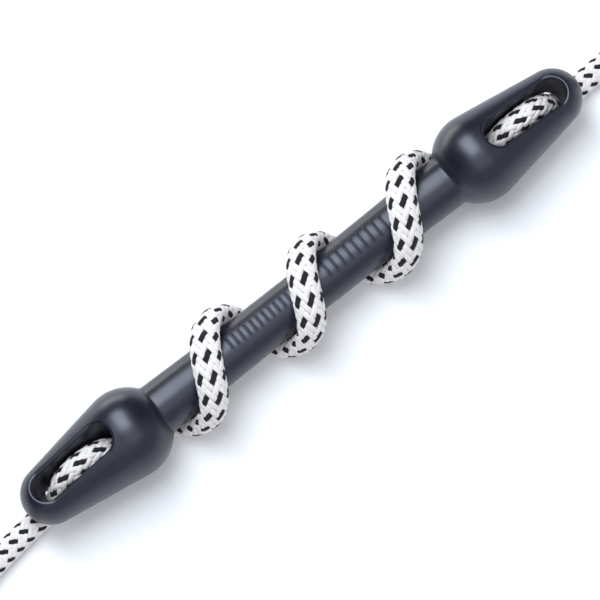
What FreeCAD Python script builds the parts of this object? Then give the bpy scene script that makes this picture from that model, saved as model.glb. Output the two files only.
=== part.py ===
import FreeCAD
import Part

import math
import os

from FreeCAD import Vector

# A rubber mooring line snubber rigged on a 14 mm braided rope.
# Millimetres. +X runs along the rubber body, +Z is up, and z = 0 is the surface that it lies on.
# The rope rises through the left head, winds round the shaft and dives through the right head.
# A head is built as the left one, measured from its tip, with the body's axis at z = 0.

# Rope
ROPE_DIAMETER = 14.0
WOUND_DIAMETER = 12.7       # the rope is squeezed thinner where it is wound on the rubber
ROPE_GAP = 0.05

# Rubber body
BODY_LENGTH = 388.0
LEFT_TIP = -BODY_LENGTH / 2
NOSE_RADIUS = 17.0
BALL_RADIUS = 25.5
BALL_FROM_TIP = 70.5
NECK_RADIUS = 15.2
NECK_FILLET = 3.5
HEAD_LENGTH = 96.0          # from the tip to the plane where the shaft starts
SHAFT_END = BODY_LENGTH / 2 - HEAD_LENGTH
WAIST_RADIUS = 13.8         # the shaft is slightly waisted
HEAD_TWIST = 4.5            # degrees that the rope's pull turns each head about the body's axis

# The body hangs on the rope under its two necks, so that rope sets the height of the axis.
AXIS_Z = NECK_RADIUS + ROPE_GAP + WOUND_DIAMETER
TAIL_Z = ROPE_DIAMETER / 2

# Saddle: the round-topped bar left standing in a head's slot, which the rope arches over
ARCH_FROM_TIP = 40.3
ARCH_RADIUS = 20.0          # of the rope's middle line
ARCH_DROP = 12.0            # the arch's centre below the axis
SADDLE_GAP = 0.55
SADDLE_RADIUS = ARCH_RADIUS - WOUND_DIAMETER / 2 - SADDLE_GAP

# Slot: straight-sided below FLARE_DROP, then flared and leaning towards the nose
FLARE_DROP = 4.6
SLOT_START = 13.6
SLOT_END = 67.0
SLOT_HALF_WIDTH = 7.6
MOUTH_HEIGHT = 30.0         # clear above the head
MOUTH_START = 5.6
MOUTH_END = 62.5
MOUTH_HALF_WIDTH = 8.9
RIM_FILLET = 1.6

# Grooves from the slot out along the underside, under the nose and under the ball
CEILING_DROP = 13.05
CORNER_RADIUS = CEILING_DROP - FLARE_DROP
NOSE_MOUTH_HALF_WIDTH = 14.0
FAN_START = 77.0            # the ball's groove fans out where the rope turns into its winding
FAN_END = 98.0
FAN_HALF_WIDTH = 23.0
RISE_START = 82.0           # its ceiling rises towards the neck
RISE_END = 100.0
CEILING_RISE = 11.5
NECK_RELIEF = 0.9           # the groove bites this far into the neck
NECK_RELIEF_START = 90.0

# Cutters reach this far past the rubber.
BEYOND = 50.0

# Winding: three turns that open out a little towards the right head
WRAP_START_X = -97.6
FIRST_PITCH = 65.8
PITCH_GROWTH = 0.86
WANDER = 1.3                # the turns wander this far along the shaft
WANDER_TURNS = 1.9
WANDER_START = 0.55
SIDE_SHIFT = 1.8            # the turns sit this far to the right at the two sides of the shaft
TURNS = 3
STEPS_PER_TURN = 12
EDGE_TURNS = 0.055          # first and last corner of the winding
INNER_TURNS = 0.136         # from here on the corners are evenly spaced
EDGE_STEP_SHARE = 0.75

# Raised ribs along the top of the shaft, in the gaps between the turns: start, pitch, number, length
RIB_HEIGHT = 0.4
RIB_WIDTH = 1.2
RIB_ROWS = [
    (-49.5, 4.1, 11, 5.6),
    (17.6, 5.1, 9, 9.6),
]

# Eye at each end of the rope
THIMBLE_WALL = 1.4
THIMBLE_INSIDE_RADIUS = 14.0
THIMBLE_FLAT_HALF_HEIGHT = 3.5
THIMBLE_LIP_DROP = 0.55     # the gutter's seat stops this angle, in radians, short of the lips
THIMBLE_LIP_GAP = 0.02      # the lips stop this far short of the rope's top and bottom
THIMBLE_START = 17.0        # the thimble's ends, measured from the throat
EYE_RADIUS = THIMBLE_INSIDE_RADIUS + THIMBLE_WALL + ROPE_DIAMETER / 2
EYE_CORNERS = 5
THROAT_TO_CROWN = 46.0
THROAT_LEAD = 12.0          # from the last point of a tail's route to the throat
THROAT_RISE = 0.6           # the whipping lifts the throat off the surface
DEAD_END_SIDE = 0.9
DEAD_END_START = 1.5
DEAD_END_LENGTH = 9.0       # the returning rope ends inside the throat
WHIPPING_LENGTH = 13.0
WHIPPING_OUTER_RADIUS = 7.7
WHIPPING_INNER_RADIUS = 7.05
WHIPPING_TO_THROAT = 16.0

# Way of the rope through a head: distance from the tip and height from the body's axis
HEAD_ROUTE = [
    (10.8, -20.95),
    (19.5, -13.5),
    (22.05, -1.5),
    (32.6, 8.0),
    (48.0, 8.0),
    (58.55, -1.5),
    (61.1, -13.5),
    (69.8, -20.95),
]
NOSE_SIDE_LEFT = -0.5       # sideways place of that route's first point, in line with the tail
NOSE_SIDE_RIGHT = 1.48
HEAD_SIDE_RIGHT = 0.4       # the rope lies this far to one side in the right head
WINDING_LEAD_LEFT = Vector(-104.0, -1.5, TAIL_Z - 0.5)
WINDING_LEAD_RIGHT = Vector(113.9, 2.2, TAIL_Z - 0.4)

# The winding ends under the nose of each head, where the free ends start.
WINDING_END_LEFT = Vector(-194.0, -1.4, TAIL_Z)
WINDING_END_RIGHT = Vector(194.0, 2.15, TAIL_Z)

# Free ends of the rope, from the nose of each head to the throat of its eye
LEFT_TAIL_ROUTE = [
    WINDING_END_LEFT,
    Vector(-205.0, -2.32, TAIL_Z),
    Vector(-221.0, -4.8, TAIL_Z + 0.1),
    Vector(-239.0, -7.9, TAIL_Z + 0.6),
]
RIGHT_TAIL_ROUTE = [
    Vector(194.3, 2.17, TAIL_Z),
    Vector(204.0, 2.77, TAIL_Z),
    Vector(218.0, 3.1, TAIL_Z + 0.1),
    Vector(233.0, 4.0, TAIL_Z + 0.6),
]


def shaft_radius(x):
    """Radius of the waisted shaft at x."""
    return WAIST_RADIUS + (NECK_RADIUS - WAIST_RADIUS) * min(1.0, abs(x) / SHAFT_END) ** 2


def winding_point(turns, step):
    """Corner of the hand-wound route round the shaft, set outside the round line that it stands for."""
    x = WRAP_START_X + FIRST_PITCH * turns + PITCH_GROWTH * turns ** 2
    x += WANDER * math.sin(2 * math.pi * (turns - WANDER_START) / WANDER_TURNS)
    x += SIDE_SHIFT * math.sin(2 * math.pi * turns) ** 2
    line_radius = shaft_radius(x) + ROPE_GAP + WOUND_DIAMETER / 2
    radius = line_radius / math.cos(step / 2)
    angle = 2 * math.pi * turns
    return Vector(x, -radius * math.sin(angle), AXIS_Z - radius * math.cos(angle))


def head_points(tip, direction, nose_side, side):
    """Route through one twisted head, from its nose to its neck."""
    twist = -direction * math.radians(HEAD_TWIST)
    points = []
    for from_tip, height in HEAD_ROUTE:
        y = side * math.cos(twist) - height * math.sin(twist)
        z = side * math.sin(twist) + height * math.cos(twist)
        points.append(Vector(tip + direction * from_tip, y, AXIS_Z + z))
    points[0] = Vector(points[0].x, nose_side, TAIL_Z)
    return points


def winding_route():
    """Route from the left nose, through the head, round the shaft and out of the right nose."""
    step = 2 * math.pi / STEPS_PER_TURN
    wound = TURNS - 2 * INNER_TURNS
    count = round(wound * STEPS_PER_TURN)
    points = [WINDING_END_LEFT]
    points += head_points(LEFT_TIP, 1, NOSE_SIDE_LEFT, 0.0)
    points.append(WINDING_LEAD_LEFT)
    points.append(winding_point(EDGE_TURNS, step * EDGE_STEP_SHARE))
    points += [winding_point(INNER_TURNS + wound * i / count, step) for i in range(count + 1)]
    points.append(winding_point(TURNS - EDGE_TURNS, step * EDGE_STEP_SHARE))
    points.append(WINDING_LEAD_RIGHT)
    points += reversed(head_points(-LEFT_TIP, -1, NOSE_SIDE_RIGHT, HEAD_SIDE_RIGHT))
    points.append(WINDING_END_RIGHT)
    return points


def eye_frame(route):
    """Throat of an eye and two directions in its plane, from the end of a tail's route."""
    along = route[-1] - route[-2]
    along.z = 0
    along.normalize()
    throat = route[-1] + along * THROAT_LEAD
    throat.z = TAIL_Z + THROAT_RISE
    return throat, along, Vector(-along.y, along.x, 0)


def eye_route(route):
    """The tail's route carried on round the thimble and back into the throat."""
    throat, along, side = eye_frame(route)
    crown = throat + along * THROAT_TO_CROWN
    spread = math.asin(EYE_RADIUS / THROAT_TO_CROWN)
    sweep = math.pi + 2 * spread
    corner_radius = EYE_RADIUS / math.cos(sweep / EYE_CORNERS / 2)
    points = list(route) + [throat]
    for i in range(EYE_CORNERS):
        angle = math.pi / 2 + spread - sweep * (i + 0.5) / EYE_CORNERS
        at = crown + along * (corner_radius * math.cos(angle)) + side * (corner_radius * math.sin(angle))
        at.z = TAIL_Z
        points.append(at)
    points.append(throat + along * DEAD_END_START - side * DEAD_END_SIDE)
    points.append(throat - along * DEAD_END_LENGTH)
    return points


def route_wire(points, label):
    """Straight runs joined by tangent arcs, each as large as its two runs allow."""
    edges = []
    radii = []
    start = points[0]
    for before, corner, after in zip(points, points[1:], points[2:]):
        way_in = corner - before
        way_out = after - corner
        reach = 0.45 * min(way_in.Length, way_out.Length)
        way_in.normalize()
        way_out.normalize()
        half_turn = way_in.getAngle(way_out) / 2
        radius = reach / math.tan(half_turn)
        radii.append(radius)
        arc_start = corner - way_in * reach
        arc_end = corner + way_out * reach
        inward = way_out - way_in
        inward.normalize()
        middle = corner + inward * (radius / math.cos(half_turn) - radius)
        edges.append(Part.LineSegment(start, arc_start).toShape())
        edges.append(Part.Arc(arc_start, middle, arc_end).toShape())
        start = arc_end
    edges.append(Part.LineSegment(start, points[-1]).toShape())
    print(label, "radii", " ".join("%.0f" % r for r in radii), "least %.1f" % min(radii))
    return Part.Wire(edges)


def tube(points, diameter, label):
    """Closed tube along a route."""
    path = route_wire(points, label)
    direction = points[1] - points[0]
    ring = Part.Wire([Part.makeCircle(diameter / 2, points[0], direction)])
    solid = path.makePipeShell([ring], True, False)
    expected = math.pi * diameter ** 2 / 4 * path.Length
    print(label, "length %.1f volume %.0f of %.0f" % (path.Length, solid.Volume, expected))
    return solid


def lines(points):
    """Straight edges from each point to the next."""
    return [Part.LineSegment(a, b).toShape() for a, b in zip(points, points[1:])]


def prism(outline, depth):
    """Solid pushed along a vector from a closed outline of edges."""
    return Part.Face(Part.Wire(outline)).extrude(depth)


def head_outside():
    """Round outside of a head: a nose and a ball joined by a tangent cone, down to the neck."""
    lean = math.asin((BALL_RADIUS - NOSE_RADIUS) / (BALL_FROM_TIP - NOSE_RADIUS))

    def on_round(centre, height, radius, angle):
        x = LEFT_TIP + centre + radius * math.cos(angle)
        return Vector(x, 0, height + radius * math.sin(angle))

    cone_angle = math.pi / 2 + lean
    reach = BALL_RADIUS + NECK_FILLET
    fillet_height = NECK_RADIUS + NECK_FILLET
    fillet_angle = math.asin(fillet_height / reach)
    fillet_centre = BALL_FROM_TIP + reach * math.cos(fillet_angle)
    fillet_turn = (math.pi + fillet_angle + 1.5 * math.pi) / 2
    nose_tip = on_round(NOSE_RADIUS, 0, NOSE_RADIUS, math.pi)
    nose_middle = on_round(NOSE_RADIUS, 0, NOSE_RADIUS, (math.pi + cone_angle) / 2)
    cone_start = on_round(NOSE_RADIUS, 0, NOSE_RADIUS, cone_angle)
    cone_end = on_round(BALL_FROM_TIP, 0, BALL_RADIUS, cone_angle)
    ball_middle = on_round(BALL_FROM_TIP, 0, BALL_RADIUS, (cone_angle + fillet_angle) / 2)
    ball_end = on_round(BALL_FROM_TIP, 0, BALL_RADIUS, fillet_angle)
    fillet_middle = on_round(fillet_centre, fillet_height, NECK_FILLET, fillet_turn)
    neck_start = Vector(LEFT_TIP + fillet_centre, 0, NECK_RADIUS)
    neck_end = Vector(LEFT_TIP + HEAD_LENGTH, 0, NECK_RADIUS)
    neck_centre = Vector(LEFT_TIP + HEAD_LENGTH, 0, 0)
    outline = [
        Part.Arc(nose_tip, nose_middle, cone_start).toShape(),
        Part.LineSegment(cone_start, cone_end).toShape(),
        Part.Arc(cone_end, ball_middle, ball_end).toShape(),
        Part.Arc(ball_end, fillet_middle, neck_start).toShape(),
    ]
    outline += lines([neck_start, neck_end, neck_centre, nose_tip])
    solid = Part.Face(Part.Wire(outline)).revolve(Vector(0, 0, 0), Vector(1, 0, 0), 360)
    solid.rotate(Vector(0, 0, 0), Vector(1, 0, 0), 180)
    return solid


def slot_outline(start, end, half_width, height):
    """Long outline with round ends, at a height."""
    left = LEFT_TIP + start + half_width
    right = LEFT_TIP + end - half_width
    near_left = Vector(left, -half_width, height)
    near_right = Vector(right, -half_width, height)
    far_right = Vector(right, half_width, height)
    far_left = Vector(left, half_width, height)
    return Part.Wire(
        [
            Part.LineSegment(near_left, near_right).toShape(),
            Part.Arc(near_right, Vector(right + half_width, 0, height), far_right).toShape(),
            Part.LineSegment(far_right, far_left).toShape(),
            Part.Arc(far_left, Vector(left - half_width, 0, height), near_left).toShape(),
        ]
    )


def slot_cutter():
    """Long round-ended hole through a head, with the saddle left standing in it."""
    low = slot_outline(SLOT_START, SLOT_END, SLOT_HALF_WIDTH, -FLARE_DROP)
    mouth = slot_outline(MOUTH_START, MOUTH_END, MOUTH_HALF_WIDTH, MOUTH_HEIGHT)
    flare = Part.makeLoft([low, mouth], True, True)
    shank = Part.Face(low).extrude(Vector(0, 0, -BEYOND))
    x = LEFT_TIP + ARCH_FROM_TIP
    width = 2 * MOUTH_HALF_WIDTH
    top_start = Vector(x, -MOUTH_HALF_WIDTH, -ARCH_DROP)
    round_top = Part.makeCylinder(SADDLE_RADIUS, width, top_start, Vector(0, 1, 0))
    stem_corner = top_start - Vector(SADDLE_RADIUS, 0, BEYOND)
    stem = Part.makeBox(2 * SADDLE_RADIUS, width, BEYOND, stem_corner)
    return flare.fuse(shank).cut(round_top.fuse(stem).removeSplitter())


def ball_groove():
    """Groove from the slot out under the ball, up to the neck."""
    corner_x = LEFT_TIP + SLOT_END + CORNER_RADIUS
    start_x = LEFT_TIP + SLOT_END - SLOT_HALF_WIDTH
    centre = Vector(corner_x, -BEYOND, -FLARE_DROP)
    angles = (math.pi, 1.25 * math.pi, 1.5 * math.pi)
    arc = [centre + Vector(math.cos(a), 0, math.sin(a)) * CORNER_RADIUS for a in angles]
    side_view = [Part.Arc(*arc).toShape()]
    side_view += lines(
        [
            arc[2],
            Vector(LEFT_TIP + RISE_START, -BEYOND, -CEILING_DROP),
            Vector(LEFT_TIP + RISE_END, -BEYOND, -CEILING_DROP + CEILING_RISE),
            Vector(LEFT_TIP + RISE_END, -BEYOND, -BEYOND),
            Vector(start_x, -BEYOND, -BEYOND),
            Vector(start_x, -BEYOND, -FLARE_DROP),
            arc[0],
        ]
    )
    fan_start = LEFT_TIP + FAN_START
    fan_end = LEFT_TIP + FAN_END
    plan = lines(
        [
            Vector(start_x, -SLOT_HALF_WIDTH, -BEYOND),
            Vector(fan_start, -SLOT_HALF_WIDTH, -BEYOND),
            Vector(fan_end, -FAN_HALF_WIDTH, -BEYOND),
            Vector(fan_end, FAN_HALF_WIDTH, -BEYOND),
            Vector(fan_start, SLOT_HALF_WIDTH, -BEYOND),
            Vector(start_x, SLOT_HALF_WIDTH, -BEYOND),
            Vector(start_x, -SLOT_HALF_WIDTH, -BEYOND),
        ]
    )
    neck_start = Vector(LEFT_TIP + NECK_RELIEF_START, 0, 0)
    neck = Part.makeCylinder(NECK_RADIUS - NECK_RELIEF, BEYOND, neck_start, Vector(1, 0, 0))
    groove = prism(side_view, Vector(0, 2 * BEYOND, 0)).common(prism(plan, Vector(0, 0, 2 * BEYOND)))
    return groove.cut(neck)


def nose_groove():
    """Groove from the slot out under the nose, wider at its mouth."""
    corner_x = LEFT_TIP + SLOT_START - CORNER_RADIUS
    inner_x = LEFT_TIP + SLOT_START + SLOT_HALF_WIDTH
    outer_x = LEFT_TIP - NOSE_RADIUS
    centre = Vector(corner_x, -BEYOND, -FLARE_DROP)
    angles = (0.0, -math.pi / 4, -math.pi / 2)
    arc = [centre + Vector(math.cos(a), 0, math.sin(a)) * CORNER_RADIUS for a in angles]
    side_view = [Part.Arc(*arc).toShape()]
    side_view += lines(
        [
            arc[2],
            Vector(outer_x, -BEYOND, -CEILING_DROP),
            Vector(outer_x, -BEYOND, -BEYOND),
            Vector(inner_x, -BEYOND, -BEYOND),
            Vector(inner_x, -BEYOND, -FLARE_DROP),
            arc[0],
        ]
    )
    plan = lines(
        [
            Vector(outer_x, -NOSE_MOUTH_HALF_WIDTH, -BEYOND),
            Vector(inner_x, -SLOT_HALF_WIDTH, -BEYOND),
            Vector(inner_x, SLOT_HALF_WIDTH, -BEYOND),
            Vector(outer_x, NOSE_MOUTH_HALF_WIDTH, -BEYOND),
            Vector(outer_x, -NOSE_MOUTH_HALF_WIDTH, -BEYOND),
        ]
    )
    return prism(side_view, Vector(0, 2 * BEYOND, 0)).common(prism(plan, Vector(0, 0, 2 * BEYOND)))


def head():
    """Left head, with its axis at z = 0."""
    solid = head_outside().cut([slot_cutter(), ball_groove(), nose_groove()])
    rim = []
    for edge in solid.Edges:
        box = edge.BoundBox
        between_sides = box.YMin >= -MOUTH_HALF_WIDTH and box.YMax <= MOUTH_HALF_WIDTH
        if between_sides and box.ZMin > NOSE_RADIUS / 2:
            rim.append(edge)
    print("rim edges", len(rim))
    return solid.makeFillet(RIM_FILLET, rim)


def waisted_shaft(extra):
    """Waisted round bar, larger in radius by extra."""
    corners = [
        Vector(SHAFT_END, 0, NECK_RADIUS + extra),
        Vector(SHAFT_END, 0, 0),
        Vector(-SHAFT_END, 0, 0),
        Vector(-SHAFT_END, 0, NECK_RADIUS + extra),
    ]
    waist = Part.Arc(corners[3], Vector(0, 0, WAIST_RADIUS + extra), corners[0]).toShape()
    return Part.Face(Part.Wire([waist] + lines(corners))).revolve(Vector(0, 0, 0), Vector(1, 0, 0), 360)


def shaft():
    """Waisted shaft with rows of plain raised ribs across its top, with its axis at z = 0."""
    ribs = []
    for start, pitch, number, length in RIB_ROWS:
        for i in range(number):
            corner = Vector(start + i * pitch - RIB_WIDTH / 2, -length / 2, 0)
            ribs.append(Part.makeBox(RIB_WIDTH, length, BEYOND, corner))
    raised = waisted_shaft(RIB_HEIGHT).common(Part.makeCompound(ribs))
    return waisted_shaft(0).fuse(raised.Solids).removeSplitter()


def thimble(route):
    """Thin gutter bent round the inside of an eye, standing on the surface."""
    throat, along, side = eye_frame(route)
    throat = Vector(throat.x, throat.y, TAIL_Z)
    crown = throat + along * THROAT_TO_CROWN
    spread = math.asin(EYE_RADIUS / THROAT_TO_CROWN)
    leg = THROAT_TO_CROWN * math.cos(spread)
    ways = [along * math.cos(spread) + side * (s * math.sin(spread)) for s in (1, -1)]
    starts = [throat + way * THIMBLE_START for way in ways]
    ends = [throat + way * leg for way in ways]
    path = Part.Wire(
        [
            Part.LineSegment(starts[0], ends[0]).toShape(),
            Part.Arc(ends[0], crown + along * EYE_RADIUS, ends[1]).toShape(),
            Part.LineSegment(ends[1], starts[1]).toShape(),
        ]
    )
    seat = ROPE_DIAMETER / 2 + ROPE_GAP
    back = ROPE_DIAMETER / 2 + THIMBLE_WALL
    lip_height = ROPE_DIAMETER / 2 - THIMBLE_LIP_GAP
    lip_angle = math.asin(lip_height / seat) - THIMBLE_LIP_DROP
    lip_back = seat * math.cos(lip_angle) + THIMBLE_WALL
    inward = ways[0].cross(Vector(0, 0, 1))
    if inward.dot(crown - starts[0]) < 0:
        inward = inward * -1

    def across(distance, height):
        return starts[0] + inward * distance + Vector(0, 0, height)

    def on_seat(angle):
        return across(seat * math.cos(angle), seat * math.sin(angle))

    section = lines(
        [
            on_seat(lip_angle),
            across(lip_back, lip_height),
            across(back, THIMBLE_FLAT_HALF_HEIGHT),
            across(back, -THIMBLE_FLAT_HALF_HEIGHT),
            across(lip_back, -lip_height),
            on_seat(-lip_angle),
        ]
    )
    section.append(Part.Arc(on_seat(-lip_angle), on_seat(0), on_seat(lip_angle)).toShape())
    return path.makePipeShell([Part.Wire(section)], True, False)


def whipping(route):
    """Band of twine wound on the rope just before the throat of an eye."""
    throat, along, side = eye_frame(route)
    start = throat - along * WHIPPING_TO_THROAT
    start.z = WHIPPING_OUTER_RADIUS
    outside = Part.makeCylinder(WHIPPING_OUTER_RADIUS, WHIPPING_LENGTH, start, along)
    inside = Part.makeCylinder(WHIPPING_INNER_RADIUS, WHIPPING_LENGTH, start, along)
    return outside.cut(inside)


os.makedirs("parts", exist_ok=True)
left_head = head()
right_head = left_head.copy()
right_head.rotate(Vector(0, 0, 0), Vector(0, 0, 1), 180)
left_head.rotate(Vector(0, 0, 0), Vector(1, 0, 0), -HEAD_TWIST)
right_head.rotate(Vector(0, 0, 0), Vector(1, 0, 0), HEAD_TWIST)
nodes = {"left_head": left_head, "shaft": shaft(), "right_head": right_head}
for solid in nodes.values():
    solid.translate(Vector(0, 0, AXIS_Z))

nodes["rope_winding"] = tube(winding_route(), WOUND_DIAMETER, "rope_winding")
for end, route in (("left", LEFT_TAIL_ROUTE), ("right", RIGHT_TAIL_ROUTE)):
    nodes["rope_tail_" + end] = tube(eye_route(route), ROPE_DIAMETER, "rope_tail_" + end)
    nodes["thimble_" + end] = thimble(route)
    nodes["whipping_" + end] = whipping(route)

for name, shape in nodes.items():
    box = shape.optimalBoundingBox()
    print("%-16s solids %d valid %s volume %.0f" % (name, len(shape.Solids), shape.isValid(), shape.Volume))
    reach = (box.XMin, box.XMax, box.YMin, box.YMax, box.ZMin, box.ZMax)
    print("    x %.1f %.1f y %.1f %.1f z %.2f %.2f" % reach)
    shape.exportStep("parts/" + name + ".step")
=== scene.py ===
import math

import bpy
import numpy as np
from mathutils import Matrix, Vector


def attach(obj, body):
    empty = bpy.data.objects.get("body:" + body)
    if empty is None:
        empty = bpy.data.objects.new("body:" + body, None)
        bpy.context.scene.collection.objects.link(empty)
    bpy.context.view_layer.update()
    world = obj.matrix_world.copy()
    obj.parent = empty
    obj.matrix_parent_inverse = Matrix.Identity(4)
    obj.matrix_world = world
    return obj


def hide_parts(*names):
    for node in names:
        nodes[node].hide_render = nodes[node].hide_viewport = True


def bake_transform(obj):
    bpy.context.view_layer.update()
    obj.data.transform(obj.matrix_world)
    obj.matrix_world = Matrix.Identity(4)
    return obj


# A rubber mooring line snubber rigged on a braided rope, lying on a pale floor. Metres, +X along the body.

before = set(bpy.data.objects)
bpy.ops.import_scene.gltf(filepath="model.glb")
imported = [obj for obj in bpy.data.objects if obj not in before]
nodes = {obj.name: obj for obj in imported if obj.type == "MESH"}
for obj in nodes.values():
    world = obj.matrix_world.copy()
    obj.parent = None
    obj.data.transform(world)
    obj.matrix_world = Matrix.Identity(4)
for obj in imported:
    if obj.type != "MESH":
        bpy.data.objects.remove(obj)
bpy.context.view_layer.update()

MM = 0.001

# ---------------------------------------------------------------- sizes, as in the CAD part
ROPE_DIAMETER = 14.0 * MM
WOUND_DIAMETER = 12.7 * MM         # the rope is squeezed thinner where it is wound on the rubber
ROPE_GAP = 0.05 * MM
BODY_LENGTH = 388.0 * MM
HEAD_LENGTH = 96.0 * MM            # from the tip to the plane where the shaft starts
NECK_RADIUS = 15.2 * MM
WAIST_RADIUS = 13.8 * MM
AXIS_Z = NECK_RADIUS + ROPE_GAP + WOUND_DIAMETER
TAIL_Z = ROPE_DIAMETER / 2
SHAFT_END = BODY_LENGTH / 2 - HEAD_LENGTH
HEAD_TWIST = math.radians(4.5)     # the rope's pull turns each head about the body's axis

# Winding: three turns that open out a little towards the right head
WRAP_START_X = -97.6 * MM
FIRST_PITCH = 65.8 * MM
PITCH_GROWTH = 0.86 * MM
WANDER = 1.3 * MM                  # the turns wander this far along the shaft
WANDER_TURNS = 1.9
WANDER_START = 0.55
SIDE_SHIFT = 1.8 * MM              # the turns sit this far to the right at the two sides of the shaft
TURNS = 3
STEPS_PER_TURN = 12
EDGE_TURNS = 0.055                 # first and last corner of the winding
INNER_TURNS = 0.136                # from here on the corners are evenly spaced
EDGE_STEP_SHARE = 0.75

# Arch over the saddle in each slot, eyes and whippings
ARCH_FROM_TIP = 40.3 * MM
EYE_RADIUS = 22.4 * MM
EYE_CORNERS = 5
THROAT_TO_CROWN = 46.0 * MM
THROAT_LEAD = 12.0 * MM
THROAT_RISE = 0.6 * MM
DEAD_END_SIDE = 0.9 * MM
DEAD_END_START = 1.5 * MM
DEAD_END_LENGTH = 9.0 * MM
WHIPPING_LENGTH = 13.0 * MM
WHIPPING_OUTER_RADIUS = 7.7 * MM
WHIPPING_TO_THROAT = 16.0 * MM

# ---------------------------------------------------------------- camera
CAMERA_ELEVATION = 73.5
CAMERA_SIDE = 4.5                  # degrees that the camera leans towards the left head
CAMERA_ROLL = 38.27
CAMERA_DISTANCE = 2.0
CAMERA_TARGET = Vector((-0.0032, -0.0011, AXIS_Z))
VIEW_WIDTH = 0.33165               # metres across the picture at the target
SENSOR_WIDTH = 36
NEAR_CLIP = 0.05


def make_camera():
    """Camera that looks down steeply on the body, rolled so that the body rises to the right."""
    data = bpy.data.cameras.new("camera")
    camera = bpy.data.objects.new("camera", data)
    bpy.context.scene.collection.objects.link(camera)
    elevation = math.radians(CAMERA_ELEVATION)
    side = math.radians(CAMERA_SIDE)
    across = math.cos(side)
    back = Vector((-math.sin(side), -across * math.cos(elevation), across * math.sin(elevation)))
    body = Vector((1, 0, 0))
    right = (body - back * body.dot(back)).normalized()
    up = back.cross(right)
    roll = math.radians(CAMERA_ROLL)
    rolled_right = right * math.cos(roll) - up * math.sin(roll)
    rolled_up = right * math.sin(roll) + up * math.cos(roll)
    turn = Matrix((rolled_right, rolled_up, back)).transposed()
    camera.matrix_world = Matrix.Translation(CAMERA_TARGET + back * CAMERA_DISTANCE) @ turn.to_4x4()
    data.sensor_width = SENSOR_WIDTH
    data.lens = SENSOR_WIDTH * CAMERA_DISTANCE / VIEW_WIDTH
    data.clip_start = NEAR_CLIP
    bpy.context.scene.camera = camera


make_camera()

# ---------------------------------------------------------------- rope route, as in the CAD part
SPLINE_RESOLUTION = 24
HEAD_ROUTE = [                     # millimetres from the tip and above the axis
    (10.8, -20.95),
    (19.5, -13.5),
    (22.05, -1.5),
    (32.6, 8.0),
    (48.0, 8.0),
    (58.55, -1.5),
    (61.1, -13.5),
    (69.8, -20.95),
]
NOSE_SIDE_LEFT = -0.5 * MM
NOSE_SIDE_RIGHT = 1.48 * MM
HEAD_SIDE_RIGHT = 0.4 * MM
WINDING_LEAD_LEFT = Vector((-104.0 * MM, -1.5 * MM, TAIL_Z - 0.5 * MM))
WINDING_LEAD_RIGHT = Vector((113.9 * MM, 2.2 * MM, TAIL_Z - 0.4 * MM))
WINDING_END_LEFT = Vector((-194.0 * MM, -1.4 * MM, TAIL_Z))
WINDING_END_RIGHT = Vector((194.0 * MM, 2.15 * MM, TAIL_Z))
LEFT_TAIL_ROUTE = [
    WINDING_END_LEFT,
    Vector((-205.0 * MM, -2.32 * MM, TAIL_Z)),
    Vector((-221.0 * MM, -4.8 * MM, TAIL_Z + 0.1 * MM)),
    Vector((-239.0 * MM, -7.9 * MM, TAIL_Z + 0.6 * MM)),
]
RIGHT_TAIL_ROUTE = [
    Vector((194.3 * MM, 2.17 * MM, TAIL_Z)),
    Vector((204.0 * MM, 2.77 * MM, TAIL_Z)),
    Vector((218.0 * MM, 3.1 * MM, TAIL_Z + 0.1 * MM)),
    Vector((233.0 * MM, 4.0 * MM, TAIL_Z + 0.6 * MM)),
]


def shaft_radius(x):
    """Radius of the waisted shaft at x."""
    return WAIST_RADIUS + (NECK_RADIUS - WAIST_RADIUS) * min(1.0, abs(x) / SHAFT_END) ** 2


def winding_point(turns, step):
    """Corner of the route round the shaft, set outside the round line that it stands for."""
    x = WRAP_START_X + FIRST_PITCH * turns + PITCH_GROWTH * turns**2
    x += WANDER * math.sin(2 * math.pi * (turns - WANDER_START) / WANDER_TURNS)
    x += SIDE_SHIFT * math.sin(2 * math.pi * turns) ** 2
    line_radius = shaft_radius(x) + ROPE_GAP + WOUND_DIAMETER / 2
    radius = line_radius / math.cos(step / 2)
    angle = 2 * math.pi * turns
    return Vector((x, -radius * math.sin(angle), AXIS_Z - radius * math.cos(angle)))


def head_points(tip, direction, nose_side, side):
    """Route through one twisted head, from its nose to its neck."""
    twist = -direction * HEAD_TWIST
    points = []
    for from_tip, height in HEAD_ROUTE:
        y = side * math.cos(twist) - height * MM * math.sin(twist)
        z = side * math.sin(twist) + height * MM * math.cos(twist)
        points.append(Vector((tip + direction * from_tip * MM, y, AXIS_Z + z)))
    points[0].y = nose_side
    points[0].z = TAIL_Z
    return points


def winding_route():
    """Route from the left nose, through the head, round the shaft and out of the right nose."""
    step = 2 * math.pi / STEPS_PER_TURN
    wound = TURNS - 2 * INNER_TURNS
    count = round(wound * STEPS_PER_TURN)
    points = [WINDING_END_LEFT]
    points += head_points(-BODY_LENGTH / 2, 1, NOSE_SIDE_LEFT, 0)
    points.append(WINDING_LEAD_LEFT)
    points.append(winding_point(EDGE_TURNS, step * EDGE_STEP_SHARE))
    points += [winding_point(INNER_TURNS + wound * i / count, step) for i in range(count + 1)]
    points.append(winding_point(TURNS - EDGE_TURNS, step * EDGE_STEP_SHARE))
    points.append(WINDING_LEAD_RIGHT)
    points += reversed(head_points(BODY_LENGTH / 2, -1, NOSE_SIDE_RIGHT, HEAD_SIDE_RIGHT))
    points.append(WINDING_END_RIGHT)
    return points


def eye_frame(route):
    """Throat of an eye and two directions in its plane, from the end of a tail's route."""
    along = route[-1] - route[-2]
    along.z = 0
    along.normalize()
    throat = route[-1] + along * THROAT_LEAD
    throat.z = TAIL_Z + THROAT_RISE
    return throat, along, Vector((-along.y, along.x, 0))


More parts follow.
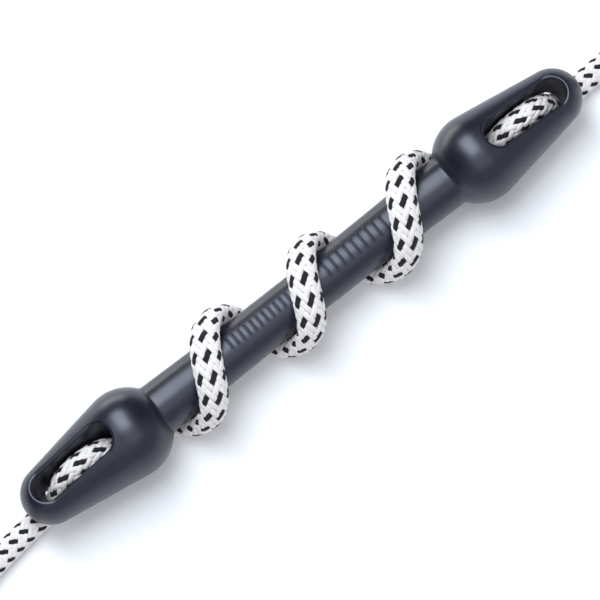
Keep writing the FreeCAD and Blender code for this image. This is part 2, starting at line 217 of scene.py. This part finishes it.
def eye_route(route):
    """The tail's route carried on round the thimble and back into the throat."""
    throat, along, side = eye_frame(route)
    crown = throat + along * THROAT_TO_CROWN
    spread = math.asin(EYE_RADIUS / THROAT_TO_CROWN)
    sweep = math.pi + 2 * spread
    corner_radius = EYE_RADIUS / math.cos(sweep / EYE_CORNERS / 2)
    points = list(route) + [throat]
    for i in range(EYE_CORNERS):
        angle = math.pi / 2 + spread - sweep * (i + 0.5) / EYE_CORNERS
        at = crown + along * (corner_radius * math.cos(angle)) + side * (corner_radius * math.sin(angle))
        at.z = TAIL_Z
        points.append(at)
    points.append(throat + along * DEAD_END_START - side * DEAD_END_SIDE)
    points.append(throat - along * DEAD_END_LENGTH)
    return points


def smooth_line(points):
    """Points along the NURBS spline of a route."""
    data = bpy.data.curves.new("route", "CURVE")
    data.dimensions = "3D"
    spline = data.splines.new("NURBS")
    spline.points.add(len(points) - 1)
    for place, point in zip(spline.points, points):
        place.co = (*point, 1.0)
    spline.order_u = 3
    spline.use_endpoint_u = True
    spline.resolution_u = SPLINE_RESOLUTION
    holder = bpy.data.objects.new("route", data)
    mesh = bpy.data.meshes.new_from_object(holder)
    line = np.array([v.co for v in mesh.vertices])
    bpy.data.objects.remove(holder)
    bpy.data.meshes.remove(mesh)
    bpy.data.curves.remove(data)
    return line


def distances(line):
    """Distance along a line to each of its points."""
    steps = np.linalg.norm(np.diff(line, axis=0), axis=1)
    return np.concatenate([[0.0], np.cumsum(steps)])


def unit(v):
    """Vectors scaled to length 1."""
    return v / np.maximum(np.linalg.norm(v, axis=-1, keepdims=True), 1e-12)


# ---------------------------------------------------------------- braid
CARRIERS = 12                      # strands each way round
LAY_TAIL = 47.4 * MM               # length of rope for one turn of a strand, longer where it is wound
LAY_HEAD = 63.0 * MM
LAY_WOUND = 62.5 * MM
STRAND_COVER = 1.09                # a strand's width over the space between two strands
STRAND_CROWN = 0.34 * MM           # height of a strand's back over its middle line
STRAND_SINK = 0.36 * MM            # how far its edges drop below that line
SINK_POWER = 5                     # keeps that drop to the edges themselves
WEAVE_DEPTH = 0.46 * MM            # how far a strand rises over and dives under the others
WEAVE_SHARPNESS = 0.5              # below 1, a strand changes sides more steeply
WOBBLE = 0.05                      # share by which that rise varies along a strand
WOBBLE_LENGTH = 7.3 * MM
WOBBLE_SHIFT = 2.1                 # radians of wobble from one strand to the next
CORE_SHARE = 0.79                  # the core fills this share of the rope's section
CORE_COLUMNS = 24
YARN_LENGTH = 10 * MM              # rope for one unit of the strands' lengthwise texture
YARN_SHIFT = 3.7                   # units from one strand to the next
SAMPLE_STEP = 0.8 * MM

# At places along the body, how far the braid is turned about the rope and moved along it.
BRAID_PLACES = np.array([-200, -180, -130, -100, 100, 130, 180, 200]) * MM
BRAID_TWIST = [0, 0, 0, 0, 0, 0.25, 0.25, 0]                           # radians
BRAID_SLIP = [0, -0.06, -0.06, -0.125, -0.125, -0.062, -0.062, 0]      # turns of a strand

STRAND_PROFILE = np.linspace(-1, 1, 9)  # across a strand, from edge to edge

# The rope's section, round in the tails and oval where it is wound and in the slots
ROUND_RADIUS = ROPE_DIAMETER / 2
WOUND_HALF_THIN = WOUND_DIAMETER / 2
WOUND_HALF_WIDE = 8.8 * MM
HEAD_HALF_THIN = 6.35 * MM
HEAD_HALF_WIDE = 6.8 * MM
TAIL_SECTION = (12 * MM, 2 * MM)   # from the tip inwards, where the rope turns to lie as in the tail
WOUND_SECTION = (112 * MM, 98 * MM)    # from the body's middle, where it turns to the winding's section
SLOT_SECTION = (32 * MM, 18 * MM)  # from the arch's middle, where it turns to the slot's section


class Rope:
    """Whole rope from the left eye to the right eye: centreline, section and braid phase."""

    def __init__(self):
        left = smooth_line(eye_route(LEFT_TAIL_ROUTE))[::-1]
        middle = smooth_line(winding_route())
        right = smooth_line(eye_route(RIGHT_TAIL_ROUTE))
        lengths = [distances(part)[-1] for part in (left, middle, right)]
        whole = np.vstack([left, middle[1:], right[1:]])
        along = distances(whole)
        count = int(round(along[-1] / SAMPLE_STEP))
        self.s = np.linspace(0, along[-1], count)
        self.centre = np.column_stack([np.interp(self.s, along, whole[:, i]) for i in range(3)])
        self.tangent = unit(np.gradient(self.centre, self.s, axis=0))
        self.cuts = (lengths[0], lengths[0] + lengths[1])
        self.lengths = lengths
        self.set_section()

    def set_section(self):
        """Directions across the rope and how flat it is: thin towards what it is wound on."""
        x = self.centre[:, 0]
        y_axis = np.array([0.0, 1.0, 0.0])
        z_axis = np.array([0.0, 0.0, 1.0])
        in_head = unit(np.cross(self.tangent, y_axis))
        in_tail = np.broadcast_to(z_axis, in_head.shape)
        to_axis = np.column_stack([np.zeros_like(x), -self.centre[:, 1], AXIS_Z - self.centre[:, 2]])
        from_middle = np.abs(x)
        tail_start, tail_end = (BODY_LENGTH / 2 - inside for inside in TAIL_SECTION)
        tail_share = ramp(from_middle, tail_start, tail_end)[:, None]
        wound_share = ramp(-from_middle, -WOUND_SECTION[0], -WOUND_SECTION[1])[:, None]
        thin = in_head * (1 - tail_share) + in_tail * tail_share
        thin = thin * (1 - wound_share) + unit(to_axis) * wound_share
        thin = thin - self.tangent * np.sum(thin * self.tangent, axis=1, keepdims=True)
        self.thin = unit(thin)
        self.wide = np.cross(self.tangent, self.thin)
        from_arch = np.abs(from_middle - (BODY_LENGTH / 2 - ARCH_FROM_TIP))
        in_slot = ramp(-from_arch, -SLOT_SECTION[0], -SLOT_SECTION[1])
        wound = wound_share[:, 0]
        plain = 1 - wound - in_slot
        self.half_thin = ROUND_RADIUS * plain + WOUND_HALF_THIN * wound + HEAD_HALF_THIN * in_slot
        self.half_wide = ROUND_RADIUS * plain + WOUND_HALF_WIDE * wound + HEAD_HALF_WIDE * in_slot
        lay = LAY_TAIL * tail_share[:, 0] + LAY_HEAD * (1 - tail_share[:, 0])
        lay = lay * (1 - wound) + LAY_WOUND * wound
        self.turns = np.concatenate([[0.0], np.cumsum(np.diff(self.s) / lay[1:])])
        self.turns += np.interp(x, BRAID_PLACES, BRAID_SLIP)
        self.twist = np.interp(x, BRAID_PLACES, BRAID_TWIST)
        middle_radius = (self.half_thin + self.half_wide) / 2 - WEAVE_DEPTH
        slant = np.arctan(2 * math.pi * middle_radius / lay)
        spacing = 2 * math.pi * middle_radius / CARRIERS * np.cos(slant)
        self.strand_width = STRAND_COVER * spacing

    def slice(self, start, end):
        """Samples between two distances along the rope, with one more at each side."""
        first = max(np.searchsorted(self.s, start) - 1, 0)
        last = min(np.searchsorted(self.s, end) + 1, len(self.s))
        return slice(first, last)


def ramp(value, low, high):
    """0 below low, 1 above high and smooth between them."""
    t = np.clip((value - low) / (high - low), 0, 1)
    return t * t * (3 - 2 * t)


def weave(angle, way):
    """Rise of a strand: two crossings over, two under, in columns along the rope."""
    wave = np.cos(angle * CARRIERS / 2 - math.pi / 4) * way
    return np.sign(wave) * np.abs(wave) ** WEAVE_SHARPNESS


def strand(rope, part, number, way):
    """Vertices of one strand's back, in rows across it."""
    s = rope.s[part]
    angle = 2 * math.pi * (number / CARRIERS + way * rope.turns[part])
    wobble = WOBBLE * np.sin(s / WOBBLE_LENGTH + number * WOBBLE_SHIFT + way)
    lift = weave(angle, way) * WEAVE_DEPTH * (1 + wobble)
    angle = angle + rope.twist[part]
    thin = rope.thin[part]
    wide = rope.wide[part]
    crest = WEAVE_DEPTH + STRAND_CROWN
    a = (rope.half_thin[part] - crest)[:, None]
    b = (rope.half_wide[part] - crest)[:, None]
    cos = np.cos(angle)[:, None]
    sin = np.sin(angle)[:, None]
    normal = unit(thin * cos / a + wide * sin / b)
    middle = rope.centre[part] + thin * a * cos + wide * b * sin + normal * lift[:, None]
    direction = unit(np.gradient(middle, s, axis=0))
    side = unit(np.cross(direction, normal))
    x = STRAND_PROFILE
    height = STRAND_CROWN * (1 - x**2) - STRAND_SINK * np.abs(x) ** SINK_POWER
    reach = rope.strand_width[part, None] / 2 * x[None, :]
    raised = normal[:, None, :] * height[None, :, None]
    return middle[:, None, :] + side[:, None, :] * reach[:, :, None] + raised


def grid_faces(rows, columns, offset, closed):
    """Quads of a grid of vertices, row by row, closed round if asked."""
    last = columns if closed else columns - 1
    row, column = np.meshgrid(np.arange(rows - 1), np.arange(last), indexing="ij")
    beside = (column + 1) % columns
    here = row * columns
    after = here + columns
    corners = [here + column, here + beside, after + beside, after + column]
    return (offset + np.stack(corners, -1)).reshape(-1, 4)


def build_mesh(name, vertices, faces, materials, slots=None, uv=None):
    """Smooth mesh object from arrays."""
    mesh = bpy.data.meshes.new(name)
    mesh.vertices.add(len(vertices))
    mesh.vertices.foreach_set("co", vertices.astype(np.float32).ravel())
    mesh.loops.add(faces.size)
    mesh.loops.foreach_set("vertex_index", faces.astype(np.int32).ravel())
    mesh.polygons.add(len(faces))
    mesh.polygons.foreach_set("loop_start", (np.arange(len(faces)) * faces.shape[1]).astype(np.int32))
    mesh.polygons.foreach_set("use_smooth", np.ones(len(faces), bool))
    for material in materials:
        mesh.materials.append(material)
    if slots is not None:
        mesh.polygons.foreach_set("material_index", slots.astype(np.int32))
    if uv is not None:
        layer = mesh.uv_layers.new(name="UVMap")
        layer.data.foreach_set("uv", uv[faces.ravel()].astype(np.float32).ravel())
    mesh.update()
    mesh.validate()
    piece = bpy.data.objects.new(name, mesh)
    bpy.context.scene.collection.objects.link(piece)
    return piece


def braid(rope, name, start, end, materials):
    """Braided rope between two distances: the strands' backs over a plain core."""
    part = rope.slice(start, end)
    count = part.stop - part.start
    vertices = []
    faces = []
    slots = []
    uvs = []
    offset = 0
    columns = len(STRAND_PROFILE)
    across = (STRAND_PROFILE + 1) / 2
    for way in (1, -1):
        for number in range(CARRIERS):
            rows = strand(rope, part, number, way)
            dark = way == 1 and number % 2 == 0
            quads = grid_faces(count, columns, offset, False)
            vertices.append(rows.reshape(-1, 3))
            faces.append(quads)
            slots.append(np.full(len(quads), 1 if dark else 0))
            s = rope.s[part] / YARN_LENGTH + number * YARN_SHIFT + way
            uvs.append(np.stack(np.broadcast_arrays(across[None, :], s[:, None]), -1).reshape(-1, 2))
            offset += rows.shape[0] * rows.shape[1]
    ring = np.linspace(0, 2 * math.pi, CORE_COLUMNS, endpoint=False)
    thin = rope.thin[part] * (rope.half_thin[part] * CORE_SHARE)[:, None]
    wide = rope.wide[part] * (rope.half_wide[part] * CORE_SHARE)[:, None]
    core = (
        rope.centre[part][:, None, :]
        + thin[:, None, :] * np.cos(ring)[None, :, None]
        + wide[:, None, :] * np.sin(ring)[None, :, None]
    )
    quads = grid_faces(count, CORE_COLUMNS, offset, True)
    vertices.append(core.reshape(-1, 3))
    faces.append(quads)
    slots.append(np.zeros(len(quads)))
    uvs.append(np.full((count * CORE_COLUMNS, 2), 0.5))
    piece = build_mesh(
        name, np.vstack(vertices), np.vstack(faces), materials, np.concatenate(slots), np.vstack(uvs)
    )
    return piece


# ---------------------------------------------------------------- materials
def new_material(name):
    """Node material with its tree and its shader."""
    material = bpy.data.materials.new(name)
    material.use_nodes = True
    tree = material.node_tree
    shader = tree.nodes["Principled BSDF"]
    return material, tree, shader


def add(tree, kind, **values):
    """New node with the given properties."""
    node = tree.nodes.new(kind)
    for key, value in values.items():
        setattr(node, key, value)
    return node


def noise(tree, vector, scale, detail=3.0, roughness=0.55):
    """Value of a noise texture."""
    node = add(tree, "ShaderNodeTexNoise")
    node.inputs["Scale"].default_value = scale
    node.inputs["Detail"].default_value = detail
    node.inputs["Roughness"].default_value = roughness
    tree.links.new(vector, node.inputs["Vector"])
    return node.outputs["Fac"]


def colour_ramp(tree, factor, stops):
    """Colour from a factor, by stops of place and colour."""
    node = add(tree, "ShaderNodeValToRGB")
    elements = node.color_ramp.elements
    while len(elements) < len(stops):
        elements.new(0.5)
    for element, (place, colour) in zip(elements, stops):
        element.position = place
        element.color = (*colour, 1.0)
    tree.links.new(factor, node.inputs["Fac"])
    return node.outputs["Color"]


def mapped(tree, factor, low, high, start=0, end=1):
    """Factor from start to end turned into a value from low to high."""
    node = add(tree, "ShaderNodeMapRange")
    node.inputs["From Min"].default_value = start
    node.inputs["From Max"].default_value = end
    node.inputs["To Min"].default_value = low
    node.inputs["To Max"].default_value = high
    tree.links.new(factor, node.inputs["Value"])
    return node.outputs["Result"]


def bump(tree, height, strength, distance, normal=None):
    """Normal of a surface raised by a height, over another normal if one is given."""
    node = add(tree, "ShaderNodeBump")
    node.inputs["Strength"].default_value = strength
    node.inputs["Distance"].default_value = distance
    tree.links.new(height, node.inputs["Height"])
    if normal is not None:
        tree.links.new(normal, node.inputs["Normal"])
    return node.outputs["Normal"]


SHAFT_ROUGHNESS = (0.33, 0.41)
HEAD_ROUGHNESS_CHANGE = -0.05
GLOSS_CHANGE_START = SHAFT_END - 10 * MM       # from the body's middle, where the heads' gloss sets in
GLOSS_CHANGE_END = SHAFT_END + 6 * MM


def rubber_material():
    """Blue-black rubber, satin on the heads, duller on the shaft, with handling marks and a fine grain."""
    material, tree, shader = new_material("moulded_rubber")
    place = add(tree, "ShaderNodeTexCoord").outputs["Object"]
    blotch = noise(tree, place, scale=28.0, detail=4.0, roughness=0.6)
    grain = noise(tree, place, scale=2600.0, detail=2.0)
    smear = noise(tree, place, scale=160.0, detail=5.0, roughness=0.65)
    colour = colour_ramp(tree, blotch, [(0.3, (0.006, 0.0065, 0.013)), (0.7, (0.009, 0.010, 0.019))])
    tree.links.new(colour, shader.inputs["Base Color"])

    split = add(tree, "ShaderNodeSeparateXYZ")
    tree.links.new(place, split.inputs["Vector"])
    from_middle = add(tree, "ShaderNodeMath", operation="ABSOLUTE")
    tree.links.new(split.outputs["X"], from_middle.inputs[0])
    on_head = mapped(tree, from_middle.outputs[0], 0, 1, start=GLOSS_CHANGE_START, end=GLOSS_CHANGE_END)
    gloss = add(tree, "ShaderNodeMath", operation="MULTIPLY_ADD")
    gloss.inputs[1].default_value = HEAD_ROUGHNESS_CHANGE
    tree.links.new(on_head, gloss.inputs[0])
    tree.links.new(mapped(tree, smear, *SHAFT_ROUGHNESS), gloss.inputs[2])
    tree.links.new(gloss.outputs[0], shader.inputs["Roughness"])

    rough = bump(tree, grain, strength=0.16, distance=0.00004)
    uneven = bump(tree, smear, strength=0.12, distance=0.0003, normal=rough)
    tree.links.new(uneven, shader.inputs["Normal"])

    shader.inputs["Specular IOR Level"].default_value = 0.65
    shader.inputs["Specular Tint"].default_value = (0.88, 0.90, 1.0, 1.0)
    return material


YARNS = 3                          # side by side in a strand
FILAMENT_HEIGHT = 0.55             # over a yarn's height
SOIL_SHADE = 0.55                  # share of the soiling in a strand's colour


def strand_material(name, dark_colour, light_colour, sheen):
    """Strand of yarns lying side by side, each with fine lengthwise filaments. Its colour follows random
    soiling and the yarns' height: dark_colour is painted into the grooves between yarns and light_colour
    onto their backs, which gives the white strands painted shade in the grooves.
    """
    material, tree, shader = new_material(name)
    coordinates = add(tree, "ShaderNodeTexCoord")
    split = add(tree, "ShaderNodeSeparateXYZ")
    tree.links.new(coordinates.outputs["UV"], split.inputs["Vector"])
    yarns = add(tree, "ShaderNodeMath", operation="MULTIPLY")
    yarns.inputs[1].default_value = YARNS * math.pi
    tree.links.new(split.outputs["X"], yarns.inputs[0])
    wave = add(tree, "ShaderNodeMath", operation="SINE")
    tree.links.new(yarns.outputs[0], wave.inputs[0])
    back = add(tree, "ShaderNodeMath", operation="ABSOLUTE")
    tree.links.new(wave.outputs[0], back.inputs[0])
    stretch = add(tree, "ShaderNodeMapping")
    stretch.inputs["Scale"].default_value = (26.0, 0.9, 1.0)
    tree.links.new(coordinates.outputs["UV"], stretch.inputs["Vector"])
    filaments = noise(tree, stretch.outputs["Vector"], scale=1.0, detail=3.0, roughness=0.6)
    height = add(tree, "ShaderNodeMath", operation="MULTIPLY_ADD")
    height.inputs[1].default_value = FILAMENT_HEIGHT
    tree.links.new(filaments, height.inputs[0])
    tree.links.new(back.outputs[0], height.inputs[2])

    # Soiling is random dirt; the yarns' height added to it paints the grooves between yarns in
    # dark_colour: painted shade on the white strands, lighter yarn edges on the black ones.
    soil = noise(tree, coordinates.outputs["Object"], scale=45.0, detail=3.0)
    soil_and_groove_shade = add(tree, "ShaderNodeMath", operation="MULTIPLY_ADD")
    soil_and_groove_shade.inputs[1].default_value = SOIL_SHADE
    tree.links.new(soil, soil_and_groove_shade.inputs[0])
    tree.links.new(height.outputs[0], soil_and_groove_shade.inputs[2])
    factor = mapped(tree, soil_and_groove_shade.outputs[0], 0.0, 0.6)
    colour = colour_ramp(tree, factor, [(0.05, dark_colour), (0.75, light_colour)])
    tree.links.new(colour, shader.inputs["Base Color"])

    tree.links.new(bump(tree, height.outputs[0], strength=0.6, distance=0.00018), shader.inputs["Normal"])
    shader.inputs["Roughness"].default_value = 0.95
    shader.inputs["Sheen Weight"].default_value = sheen
    return material


def steel_material():
    """Polished stainless thimble with fine scratches."""
    material, tree, shader = new_material("stainless")
    place = add(tree, "ShaderNodeTexCoord").outputs["Object"]
    scratch = noise(tree, place, scale=900.0, detail=4.0, roughness=0.7)
    cloud = noise(tree, place, scale=60.0, detail=3.0)
    colour = colour_ramp(tree, cloud, [(0.3, (0.52, 0.52, 0.53)), (0.7, (0.66, 0.66, 0.67))])
    tree.links.new(colour, shader.inputs["Base Color"])
    tree.links.new(mapped(tree, scratch, 0.18, 0.34), shader.inputs["Roughness"])
    tree.links.new(bump(tree, scratch, strength=0.1, distance=0.00005), shader.inputs["Normal"])
    shader.inputs["Metallic"].default_value = 1.0
    return material


def twine_material():
    """Dark waxed whipping twine with a fine lay."""
    material, tree, shader = new_material("waxed_twine")
    coordinates = add(tree, "ShaderNodeTexCoord")
    stretch = add(tree, "ShaderNodeMapping")
    stretch.inputs["Scale"].default_value = (6.0, 40.0, 1.0)
    stretch.inputs["Rotation"].default_value = (0, 0, 0.5)
    tree.links.new(coordinates.outputs["UV"], stretch.inputs["Vector"])
    lay = noise(tree, stretch.outputs["Vector"], scale=1.0, detail=2.0)
    colour = colour_ramp(tree, lay, [(0.3, (0.012, 0.012, 0.014)), (0.7, (0.05, 0.05, 0.055))])
    tree.links.new(colour, shader.inputs["Base Color"])
    tree.links.new(bump(tree, lay, strength=0.7, distance=0.0001), shader.inputs["Normal"])
    shader.inputs["Roughness"].default_value = 0.45
    return material


def floor_material():
    """Plain matt floor, a little off white."""
    material, tree, shader = new_material("pale_floor")
    shader.inputs["Base Color"].default_value = (0.95, 0.95, 0.94, 1)
    shader.inputs["Roughness"].default_value = 0.9
    shader.inputs["Specular IOR Level"].default_value = 0.2
    return material


RUBBER = rubber_material()
# Grooves between yarns get the first colour and yarn backs the second: painted shade in the grooves of the
# white rope, while the black strands are painted lighter at their yarn edges.
ROPE_WHITE = strand_material("rope_white", (0.62, 0.60, 0.57), (0.85, 0.81, 0.775), 0.1)
ROPE_BLACK = strand_material("rope_black", (0.022, 0.022, 0.025), (0.004, 0.004, 0.006), 0.02)
STEEL = steel_material()
TWINE = twine_material()

# ---------------------------------------------------------------- rope pieces
rope = Rope()
left_cut, right_cut = rope.cuts
rope_materials = [ROPE_WHITE, ROPE_BLACK]
tail_left = braid(rope, "rope_left_end", 0, left_cut, rope_materials)
winding = braid(rope, "rope_wound", left_cut, right_cut, rope_materials)
tail_right = braid(rope, "rope_right_end", right_cut, rope.s[-1], rope_materials)


TWINE_TURNS = 11
TWINE_STEPS_PER_TURN = 28
TWINE_COLUMNS = 8
TWINE_RADIUS = 0.55 * MM
TWINE_TEXTURE_TURN = 6             # radians of a turn for one unit of the twine's lengthwise texture


def whipping(name, route):
    """Band of twine: one helix of close turns on the rope before an eye's throat."""
    throat, along, side = eye_frame(route)
    band_radius = WHIPPING_OUTER_RADIUS - TWINE_RADIUS
    start = throat - along * WHIPPING_TO_THROAT
    start.z = WHIPPING_OUTER_RADIUS
    angle = np.linspace(0, 2 * math.pi * TWINE_TURNS, TWINE_TURNS * TWINE_STEPS_PER_TURN + 1)
    advance = (WHIPPING_LENGTH - 2 * TWINE_RADIUS) * angle / angle[-1] + TWINE_RADIUS
    side = np.array(side)
    up = np.array([0.0, 0.0, 1.0])
    outward = np.cos(angle)[:, None] * side + np.sin(angle)[:, None] * up
    centre = np.array(start) + np.array(along) * advance[:, None] + band_radius * outward
    forward = unit(np.gradient(centre, axis=0))
    across = np.cross(forward, outward)
    ring = np.linspace(0, 2 * math.pi, TWINE_COLUMNS, endpoint=False)
    rows = (
        centre[:, None, :]
        + outward[:, None, :] * np.cos(ring)[None, :, None] * TWINE_RADIUS
        + across[:, None, :] * np.sin(ring)[None, :, None] * TWINE_RADIUS
    )
    along_twine = (angle / TWINE_TEXTURE_TURN)[:, None]
    uv = np.stack(np.broadcast_arrays((ring / (2 * math.pi))[None, :], along_twine), -1).reshape(-1, 2)
    faces = grid_faces(len(angle), TWINE_COLUMNS, 0, True)
    piece = build_mesh(name, rows.reshape(-1, 3), faces, [TWINE], uv=uv)
    return piece


whipping_left = whipping("twine_left", LEFT_TAIL_ROUTE)
whipping_right = whipping("twine_right", RIGHT_TAIL_ROUTE)

for body, piece, node in (
    ("left_end", tail_left, "rope_tail_left"),
    ("right_end", tail_right, "rope_tail_right"),
    ("left_end", whipping_left, "whipping_left"),
    ("right_end", whipping_right, "whipping_right"),
):
    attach(piece, body)
    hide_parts(node)

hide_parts("rope_winding")
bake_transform(winding)

# ---------------------------------------------------------------- rubber shaft
RIB_HEIGHT = 0.3 * MM
RIB_WIDTH = 1.0 * MM
RIB_EDGE = 1.1 * MM                # width of a rib's soft edge
RIB_ROWS = [                       # first rib, pitch, number of ribs, length
    (-49.5 * MM, 4.1 * MM, 11, 5.6 * MM),
    (17.6 * MM, 5.1 * MM, 9, 9.6 * MM),
]
SHAFT_ROWS = 785
SHAFT_COLUMNS = 160


def rib_share(x, y):
    """How much of a rib's height stands at a place along and across the top of the shaft."""
    share = np.zeros_like(x)
    for start, pitch, number, length in RIB_ROWS:
        nearest = start + pitch * np.clip(np.round((x - start) / pitch), 0, number - 1)
        outside = np.hypot(x - nearest, np.maximum(np.abs(y) - length / 2, 0)) - RIB_WIDTH / 2
        share = np.maximum(share, ramp(-outside, -RIB_EDGE / 2, RIB_EDGE / 2))
    return share


def rubber_shaft():
    """Waisted shaft as one fine skin, with plain raised ribs across its top."""
    along = np.linspace(-SHAFT_END, SHAFT_END, SHAFT_ROWS)
    around = np.linspace(0, 2 * math.pi, SHAFT_COLUMNS, endpoint=False)
    x, angle = np.meshgrid(along, around, indexing="ij")
    radius = WAIST_RADIUS + (NECK_RADIUS - WAIST_RADIUS) * (x / SHAFT_END) ** 2
    on_top = np.sin(angle) > 0
    radius = radius + RIB_HEIGHT * rib_share(x, radius * np.cos(angle)) * on_top
    vertices = np.stack([x, radius * np.cos(angle), AXIS_Z + radius * np.sin(angle)], -1).reshape(-1, 3)
    piece = build_mesh("rubber_shaft", vertices, grid_faces(SHAFT_ROWS, SHAFT_COLUMNS, 0, True), [RUBBER])
    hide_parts("shaft")
    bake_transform(piece)


rubber_shaft()


def dress(node, material):
    """Gives a CAD node its material."""
    piece = nodes[node]
    piece.data.materials.clear()
    piece.data.materials.append(material)


for node in ("left_head", "right_head"):
    dress(node, RUBBER)
for node in ("thimble_left", "thimble_right"):
    dress(node, STEEL)


# ---------------------------------------------------------------- floor and light
FLOOR_HALF_SIZE = 6.0
FLOOR_DROP = 0.0002                # keeps the floor just below the rope


def add_floor():
    """Plain square floor."""
    data = bpy.data.meshes.new("floor")
    half = FLOOR_HALF_SIZE
    corners = [(-half, -half, 0), (half, -half, 0), (half, half, 0), (-half, half, 0)]
    data.from_pydata(corners, [], [(0, 1, 2, 3)])
    floor = bpy.data.objects.new("floor", data)
    bpy.context.scene.collection.objects.link(floor)
    floor.location.z = -FLOOR_DROP
    data.materials.append(floor_material())


def add_panel(name, direction, distance, size, power, colour):
    """Soft panel light that faces the middle of the body."""
    data = bpy.data.lights.new(name, "AREA")
    data.shape = "RECTANGLE"
    data.size, data.size_y = size
    data.energy = power
    data.color = colour
    lamp = bpy.data.objects.new(name, data)
    bpy.context.scene.collection.objects.link(lamp)
    target = Vector((0, 0, AXIS_Z))
    lamp.location = target + Vector(direction).normalized() * distance
    lamp.rotation_euler = (target - lamp.location).to_track_quat("-Z", "Y").to_euler()


WORLD_STRENGTH = 0.62
FAR_SIDE_DARK = (0.06, 0.06, 0.07)
OVERHEAD = (0.93, 0.95, 1.0)
NEAR_LOW = (0.85, 0.88, 1.0)
NEAR_HIGH = (0.90, 0.93, 1.0)


def add_world():
    """Pale studio, dark on the far side below the key light."""
    world = bpy.data.worlds.new("studio")
    bpy.context.scene.world = world
    world.use_nodes = True
    tree = world.node_tree
    background = tree.nodes["Background"]
    split = add(tree, "ShaderNodeSeparateXYZ")
    tree.links.new(add(tree, "ShaderNodeTexCoord").outputs["Generated"], split.inputs["Vector"])
    height = split.outputs["Z"]
    far_side = colour_ramp(tree, height, [(0.0, FAR_SIDE_DARK), (0.82, FAR_SIDE_DARK), (0.97, OVERHEAD)])
    near_side = colour_ramp(tree, height, [(0.0, NEAR_LOW), (0.9, NEAR_HIGH)])
    mix = add(tree, "ShaderNodeMix", data_type="RGBA")
    tree.links.new(mapped(tree, split.outputs["Y"], 0, 1, start=-0.5, end=0.05), mix.inputs[0])
    tree.links.new(near_side, mix.inputs[6])
    tree.links.new(far_side, mix.inputs[7])
    tree.links.new(mix.outputs[2], background.inputs["Color"])
    background.inputs["Strength"].default_value = WORLD_STRENGTH


add_floor()
add_world()
add_panel("key", (0.02, 0.36, 0.93), distance=1.6, size=(0.85, 1.6), power=31, colour=(0.86, 0.92, 1.0))
add_panel("fill", (0.0, -0.45, 0.9), distance=1.8, size=(1.6, 1.4), power=7, colour=(0.88, 0.92, 1.0))
add_panel("rim", (0.0, 1.0, 0.07), distance=0.5, size=(0.4, 0.12), power=0.65, colour=(1.0, 0.95, 0.88))
bpy.context.scene.view_settings.view_transform = "Standard"
